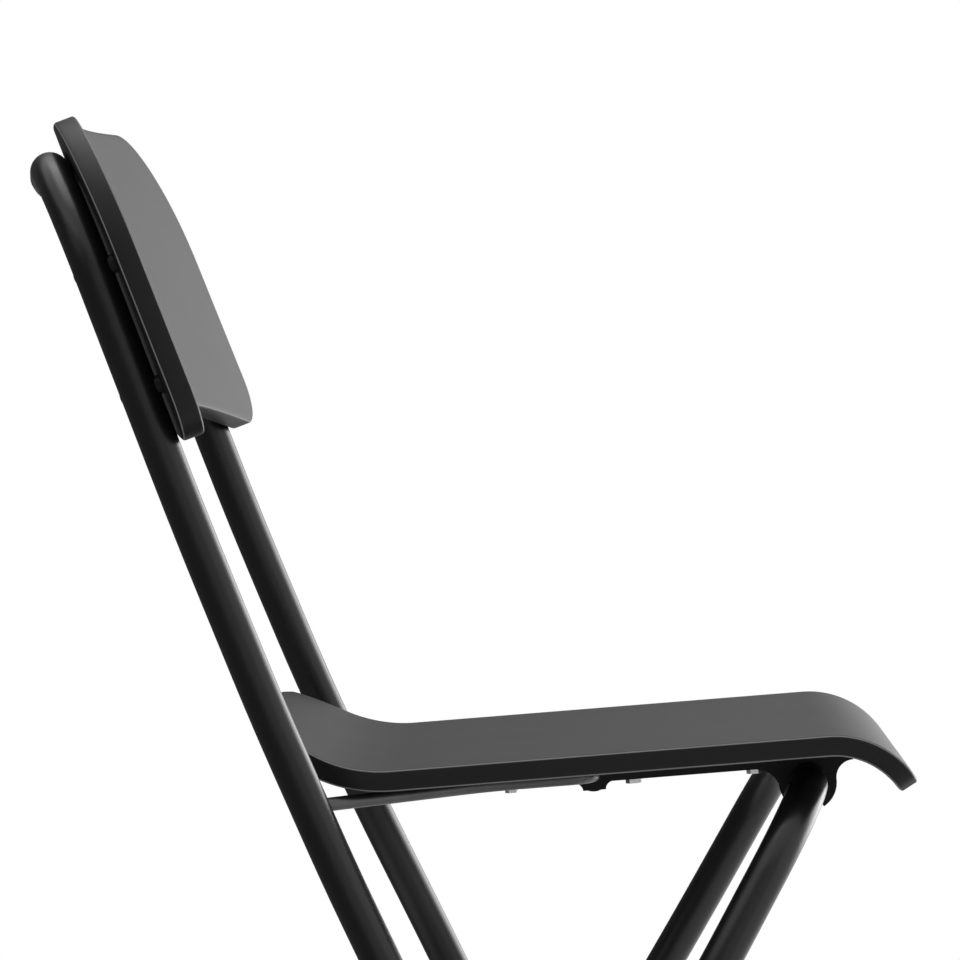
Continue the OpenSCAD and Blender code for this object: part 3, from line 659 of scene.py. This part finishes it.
class STOOL_OT_seat(bpy.types.Operator):
    """Shapes the moulded seat: curled up behind, rolled down in front, with soft edges"""

    bl_idname = "stool.seat"
    bl_label = "Seat"

    def execute(self, context):
        line = seat_line()
        xs = [p[0] for p in line]
        x_rear, x_front = xs[0] - SEAT_T * math.sin(math.radians(CURL_TURN)), xs[-1]
        half_w, rear_r, front_r, bow_r = 190.0, 51.0, 8.0, 1217.0
        # Only behind lip_x is the board fitted to its rear edge, less and less over edge_run
        lip_x, edge_run = -150.0, 30.0

        def on_line(at):
            """The upper face's point and way out at a distance from the axis."""
            k, hi = 0, len(xs) - 2
            while k < hi:
                mid = (k + hi + 1) // 2
                if xs[mid] <= at:
                    k = mid
                else:
                    hi = mid - 1
            share = (at - xs[k]) / (xs[k + 1] - xs[k])
            return [line[k][i] + (line[k + 1][i] - line[k][i]) * share for i in range(4)]

        def lay(p, depth):
            at = p.x
            if at < lip_x:
                # Behind, the edge is cut upright, but its middle is cut square to the lip
                bow = x_rear + bow_r - math.sqrt(bow_r ** 2 - p.y ** 2)
                short = max(0.0, xs[0] - bow) * max(0.0, 1 - (at - bow) / edge_run)
                at += short * (1 - depth / SEAT_T) + depth * on_line(at)[2]
            x, z, nx, nz = on_line(at)
            size = math.hypot(nx, nz)
            x, z = x - depth * nx / size, z - depth * nz / size
            c, s = math.cos(SEAT_SLOPE), math.sin(SEAT_SLOPE)
            return Vector((SEAT_AXIS[0] + x * c - z * s, p.y, SEAT_AXIS[1] + x * s + z * c))

        # The rear edge is bowed, and its corners meet the bow
        cy, bow_x = half_w - rear_r, x_rear + bow_r
        cx = bow_x - math.sqrt((bow_r - rear_r) ** 2 - cy ** 2)
        turn = math.degrees(math.atan2(cy, cx - bow_x))
        half = (90 + turn) / 2
        fx, fy = x_front - front_r, half_w - front_r
        right = arc(cx, -cy, rear_r, 360 - half, 270, 12) + arc(fx, -fy, front_r, 270, 315, 8)
        nose = arc(fx, -fy, front_r, 315, 360, 8) + arc(fx, fy, front_r, 0, 45, 8)
        left = arc(fx, fy, front_r, 45, 90, 8) + arc(cx, cy, rear_r, 90, half, 12)
        tail = (
            arc(cx, cy, rear_r, half, turn, 12)
            + arc(bow_x, 0, bow_r, turn, 360 - turn, 24, 1)
            + arc(cx, -cy, rear_r, 360 - turn, 360 - half, 12, 1)
        )
        long_n, short_n = 130, 56
        sides = [respaced(right, long_n), respaced(nose, short_n), respaced(left, long_n), respaced(tail, short_n)]
        edge = context.scene.stool_sizes.seat_edge / MM
        seat = board("seat_shell", sides, SEAT_T, edge, lay, finish("board lacquer", board_lacquer))
        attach(seat, "seat")
        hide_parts("seat_panel")
        return {"FINISHED"}


# The uprights' bend under the backrest (x, z), and from there the backrest's lower corners:
# so far up along the uprights, and with its middle so far in front of their axes
SHOULDER = (-135.683, 735.0)
BACK_TILT = math.radians(21.0)
BACK_RISE, BACK_AHEAD = 36.0, 26.868
BACK_FOOT = (
    SHOULDER[0] - BACK_RISE * math.sin(BACK_TILT) + BACK_AHEAD * math.cos(BACK_TILT),
    SHOULDER[1] + BACK_RISE * math.cos(BACK_TILT) + BACK_AHEAD * math.sin(BACK_TILT),
)
# The curve's radius and its centre's distance in front of that foot, the thickness and the height
BACK_R, BACK_C, BACK_T, BACK_H = 1314.0, 1294.58, 11.6, 183.2


class STOOL_OT_backrest(bpy.types.Operator):
    """Shapes the curved backrest, with its arched foot and soft edges"""

    bl_idname = "stool.backrest"
    bl_label = "Backrest"

    def execute(self, context):
        # The side edges' lean in degrees, half the width at the foot, the radii of the corners
        # and of the crowned top, the foot's arch, and the centres of the corners
        lean, half_w = 4.3, 228.5
        top_r, low_r, crown_r, arch = 85.5, 23.0, 6000.0, 24.5
        top_c, low_c = Vector((135.529, 96.147)), Vector((203.287, 28.567))
        crown_c = BACK_H - crown_r
        arch_r = (half_w ** 2 + arch ** 2) / (2 * arch)
        arch_c = arch - arch_r
        low_turn = math.degrees(math.atan2(arch_c - low_c.y, -low_c.x))
        crown_turn = math.degrees(math.atan2(top_c.y - crown_c, top_c.x))
        low_mid, top_mid = (low_turn + lean) / 2, (lean + crown_turn) / 2
        foot = arc(0, arch_c, arch_r, 90, low_turn + 180, 30) + arc(low_c.x, low_c.y, low_r, low_turn, low_mid, 8)
        side = arc(low_c.x, low_c.y, low_r, low_mid, lean, 8) + arc(top_c.x, top_c.y, top_r, lean, top_mid, 16)
        crown = arc(top_c.x, top_c.y, top_r, top_mid, crown_turn, 16) + arc(0, crown_c, crown_r, crown_turn, 90, 30)

        def flip(line):
            return [Vector((-p.x, p.y)) for p in line[::-1]]

        long_n, short_n = 140, 56
        sides = [
            respaced(flip(foot)[:-1] + foot, long_n),
            respaced(side, short_n),
            respaced(crown[:-1] + flip(crown), long_n),
            respaced(flip(side), short_n),
        ]
        c, s = math.cos(BACK_TILT), math.sin(BACK_TILT)

        def lay(p, depth):
            # The flat outline is the view square to the backrest, seen from the front
            y = -p.x
            n = BACK_C - math.sqrt(BACK_R ** 2 - y * y)
            out = Vector((BACK_C - n, -y)).normalized()
            n, y = n - out.x * depth, y - out.y * depth
            return Vector((BACK_FOOT[0] + n * c - p.y * s, y, BACK_FOOT[1] + n * s + p.y * c))

        edge = context.scene.stool_sizes.back_edge / MM
        panel = board("backrest_shell", sides, BACK_T, edge, lay, finish("board lacquer", board_lacquer))
        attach(panel, "back_frame")
        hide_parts("backrest_panel")
        return {"FINISHED"}


class STOOL_OT_crossbars(bpy.types.Operator):
    """Finishes the footrest and the rear crossbar, and lays their weld beads"""

    bl_idname = "stool.crossbars"
    bl_label = "Crossbars"

    def execute(self, context):
        finish_node("footrest_bar", finish("tube paint", tube_paint))
        finish_node("rear_crossbar", finish("tube paint", tube_paint))
        bead = context.scene.stool_sizes.weld_size / MM / 2
        # How far the bead's middle stands off both surfaces, its ripples, and their depth
        stand, steps, ripples, depth = bead * 0.35, 96, 26, 0.09
        jobs = [
            ("footrest", "back_frame", FOOTREST_Z, FRONT_HALF, -LEG_TILT, FOOTREST_R),
            ("crossbar", "rear_frame", CROSSBAR_Z, REAR_HALF, REAR_TILT, CROSSBAR_R),
        ]
        for name, body, z, half, tilt, bar_r in jobs:
            x = CROSS[0] - (CROSS[1] - z) * math.tan(tilt)
            for side, word in ((1, "left"), (-1, "right")):
                along = Vector((math.sin(tilt), 0, math.cos(tilt)))
                over = Vector((math.cos(tilt), 0, -math.sin(tilt)))
                line = []
                for k in range(steps):
                    a = 2 * math.pi * k / steps
                    r = bar_r + stand
                    reach = math.sqrt(max(0.0, (TUBE_R + stand) ** 2 - (r * math.sin(a)) ** 2))
                    p = Vector((x, side * (half - reach), z)) + (along * math.cos(a) + over * math.sin(a)) * r
                    line.append(p)
                ring = swept(
                    f"{name}_weld_{word}", line,
                    lambda t: bead * (1 + depth * math.sin(t * 2 * math.pi * ripples)),
                    finish("weld bead", weld_bead), sides=14, closed=True,
                )
                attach(ring, body)
        return {"FINISHED"}


class STOOL_OT_feet(bpy.types.Operator):
    """Moulds the four foot caps, cut level where they stand"""

    bl_idname = "stool.feet"
    bl_label = "Feet"

    def execute(self, context):
        plastic = finish("moulded plastic", moulded_plastic)
        jobs = [("front", "back_frame", FRONT_HALF, -LEG_TILT), ("rear", "rear_frame", REAR_HALF, REAR_TILT)]
        # A cap's radii and heights: a plain skirt, three grooves, and a rolled lip round the tube
        groove = [(12.6, 0.0), (12.5, 0.4), (12.0, 0.8), (12.0, 1.6), (12.5, 2.0), (12.6, 2.4)]
        outline = [(12.6, -30.0), (12.6, 11.0)]
        for start in (12.0, 17.0, 22.0):
            outline += [(r, start + h) for r, h in groove]
        outline += [(12.6, 31.5), (12.5, 32.6), (12.1, 33.4), (11.5, 33.9), (10.2, 34.0), (10.1, 33.0)]
        for end, body, half, tilt in jobs:
            x = CROSS[0] - (CROSS[1] - LEG_END_Z) * math.tan(tilt)
            for side, word in ((1, "left"), (-1, "right")):
                place = Matrix.Translation((x, side * half, LEG_END_Z)) @ Matrix.Rotation(tilt, 4, "Y")
                cap = turned(f"{end}_foot_cap_{word}", outline, plastic, place)
                cut = bmesh.new()
                cut.from_mesh(cap.data)
                geometry = cut.verts[:] + cut.edges[:] + cut.faces[:]
                found = bmesh.ops.bisect_plane(
                    cut, geom=geometry, plane_co=(0, 0, 0), plane_no=(0, 0, 1), clear_inner=True
                )
                rim = [e for e in found["geom_cut"] if isinstance(e, bmesh.types.BMEdge)]
                bmesh.ops.holes_fill(cut, edges=rim, sides=0)
                cut.to_mesh(cap.data)
                cut.free()
                cap.data.shade_smooth()
                cap.data.set_sharp_from_angle(angle=math.radians(50))
                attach(cap, body)
                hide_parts(f"{end}_foot_{word}")
        return {"FINISHED"}


class STOOL_OT_brackets(bpy.types.Operator):
    """Finishes the two moulded brackets under the seat, and their screws"""

    bl_idname = "stool.brackets"
    bl_label = "Seat brackets"

    def execute(self, context):
        for word in ("left", "right"):
            finish_node(f"seat_bracket_{word}", finish("moulded plastic", moulded_plastic), 0.0006)
        finish_node("bracket_screws", finish("zinc plate", zinc_plate), 0.0003)
        finish_node("seat_inserts", finish("turned brass", turned_brass), 0.0002)
        return {"FINISHED"}


class STOOL_OT_fasteners(bpy.types.Operator):
    """Finishes the bolts, washers, nuts, screws, inserts, spacers and bushes"""

    bl_idname = "stool.fasteners"
    bl_label = "Fasteners"

    def execute(self, context):
        black = finish("blackened steel", blackened_steel)
        zinc = finish("zinc plate", zinc_plate)
        plastic = finish("moulded plastic", moulded_plastic)
        finish_node("backrest_screws", black, 0.0002)
        finish_node("backrest_inserts", finish("turned brass", turned_brass), 0.0002)
        finish_node("backrest_spacers", plastic)
        finish_node("crossing_bolts", black, 0.0003)
        finish_node("crossing_washers", zinc, 0.0003)
        finish_node("crossing_nuts", zinc, 0.0004)
        finish_node("crossing_spacers", plastic, 0.0004)
        finish_node("stay_bushes", plastic, 0.0003)
        return {"FINISHED"}


# ---- Studio


class STOOL_OT_studio(bpy.types.Operator):
    """Sets the pale floor, the white surroundings, the soft lamps and the camera"""

    bl_idname = "stool.studio"
    bl_label = "Studio"

    def execute(self, context):
        scene = context.scene
        scene.view_settings.view_transform = "Standard"

        # White to the eye and in gloss, and softer as a light
        scene.world = bpy.data.worlds.new("White studio")
        w = Finish(scene.world)
        kinds = ("Camera", "Glossy", "Transmission")
        rays = [w.node("ShaderNodeLightPath", out=f"Is {kind} Ray") for kind in kinds]
        seen = w.node("ShaderNodeMath", {"operation": "MINIMUM"}, {0: rays[0] + rays[1] + rays[2], 1: 1.0})
        sky = w.node("ShaderNodeBackground", inputs={"Color": (1, 1, 1, 1), "Strength": seen + (1 - seen) * 0.5})
        w.node("ShaderNodeOutputWorld", inputs={"Surface": sky}, out=None)

        # Floor: a wide disc, pale under the stool and white far away
        f = Finish(bpy.data.materials.new("pale floor"))
        far = f.node("ShaderNodeVectorMath", {"operation": "LENGTH"}, {0: f.place()}, out="Value")
        fade = f.node("ShaderNodeMapRange", {"clamp": True}, {"Value": far, "From Min": 0.8, "From Max": 2.6})
        grain = f.noise(60.0, 3.0)
        matt = f.node(
            "ShaderNodeBsdfPrincipled",
            inputs={"Base Color": f.mixed(grain, (0.86, 0.86, 0.86, 1), (0.9, 0.9, 0.9, 1)), "Roughness": 0.8},
        )
        glow = f.node("ShaderNodeEmission", inputs={"Color": (1, 1, 1, 1), "Strength": 1.0})
        sheet = f.node("ShaderNodeMixShader", inputs={0: fade, 1: matt, 2: glow})
        f.node("ShaderNodeOutputMaterial", inputs={"Surface": sheet}, out=None)
        rings = [(r, -0.0002) for r in (0.0, 0.5, 1.2, 2.0, 3.0, 6.0)]
        floor = round_sheet("floor", rings, f.material)

        # Painted shade for reflections: a dark sheet round the left and the camera's side, paler where it ends
        # behind the stool, seen only in reflections, where it darkens the gloss on those sides
        f = Finish(bpy.data.materials.new("painted reflection shade"))
        sheet_mottle = f.noise(40.0, 3.0)
        shade = f.mixed(sheet_mottle, (0.08, 0.08, 0.08, 1), (0.13, 0.13, 0.13, 1))
        turn = f.node("ShaderNodeVectorMath", {"operation": "NORMALIZE"}, {0: f.place()})
        right = f.node("ShaderNodeVectorMath", {"operation": "DOT_PRODUCT"}, {0: turn, 1: (1, 0, 0)}, out="Value")
        end = f.node("ShaderNodeMapRange", {"clamp": True}, {"Value": right, "From Min": -0.35, "From Max": 0.17})
        shade = f.mixed(end, shade, (0.75, 0.75, 0.75, 1))
        shade_finish = f.surface(Base_Color=shade, Roughness=0.9, Specular_IOR_Level=0.1)
        rise = [(0.75, 0.01), (2.4, 0.1), (3.9, 1.2), (4.6, 3.5)]
        screen = round_sheet("reflection_shade_sheet", rise, shade_finish, start=80.0, sweep=230.0, parts=46)
        # Hidden from the camera, from diffuse light, from transmission and from shadows, so that it only paints
        # shade into reflections
        screen.visible_camera = screen.visible_diffuse = False
        screen.visible_transmission = screen.visible_shadow = False

        lamps = [
            ("left softbox", (-2.2, -2.2, 2.4), 2.4, 8.0),
            ("right softbox", (1.9, 1.7, 0.9), 2.0, 50.0),
            ("top softbox", (0.0, 0.4, 3.2), 2.6, 40.0),
        ]
        for name, place, size, power in lamps:
            light = bpy.data.lights.new(name, "AREA")
            light.shape = "SQUARE"
            light.size = size
            light.energy = power
            lamp = bpy.data.objects.new(name, light)
            lamp.location = place
            aim = Vector((0.0, 0.0, 0.6)) - Vector(place)
            lamp.rotation_euler = aim.to_track_quat("-Z", "Y").to_euler()
            scene.collection.objects.link(lamp)

        # Camera: level with the upper backrest, beside the stool, through a long lens. The pixel
        # straight across the stool from it is ahead, and it turns from there to the picture's
        # middle. A pixel is 0.534 mm at the stool
        middle, ahead, pixel = 480, (596, 340), 0.000534
        data = bpy.data.cameras.new("Side camera")
        data.lens = 225.0
        data.sensor_width = 36.0
        data.clip_end = 50.0
        data.dof.use_dof = False
        camera = bpy.data.objects.new("Side camera", data)
        camera.location = (0.06696, -3.204, 0.82877)
        aim = Vector(((middle - ahead[0]) * pixel, -camera.location.y, (ahead[1] - middle) * pixel))
        camera.rotation_euler = aim.to_track_quat("-Z", "Y").to_euler()
        scene.collection.objects.link(camera)
        scene.camera = camera
        return {"FINISHED"}


class STOOL_PT_panel(bpy.types.Panel):
    """Lists the stool's settings and its pieces"""

    bl_idname = "STOOL_PT_panel"
    bl_label = "Bar stool"
    bl_space_type = "VIEW_3D"
    bl_region_type = "UI"
    bl_category = "Bar stool"

    def draw(self, context):
        layout = self.layout
        for group in (context.scene.stool_sizes, context.scene.stool_finishes):
            box = layout.box()
            for key in group.__annotations__:
                box.prop(group, key)
        column = layout.column(align=True)
        for piece in PIECES:
            column.operator(piece.bl_idname)


PIECES = (
    STOOL_OT_back_frame,
    STOOL_OT_rear_frame,
    STOOL_OT_stay,
    STOOL_OT_seat,
    STOOL_OT_backrest,
    STOOL_OT_crossbars,
    STOOL_OT_feet,
    STOOL_OT_brackets,
    STOOL_OT_fasteners,
    STOOL_OT_studio,
)
CLASSES = (StoolSizes, StoolFinishes) + PIECES + (STOOL_PT_panel,)


def register():
    for made in CLASSES:
        bpy.utils.register_class(made)
    bpy.types.Scene.stool_sizes = PointerProperty(type=StoolSizes)
    bpy.types.Scene.stool_finishes = PointerProperty(type=StoolFinishes)


def unregister():
    del bpy.types.Scene.stool_finishes
    del bpy.types.Scene.stool_sizes
    for made in reversed(CLASSES):
        bpy.utils.unregister_class(made)


def main():
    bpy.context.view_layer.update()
    register()
    for piece in PIECES:
        family, name = piece.bl_idname.split(".")
        getattr(getattr(bpy.ops, family), name)()


if __name__ == "__main__":
    main()
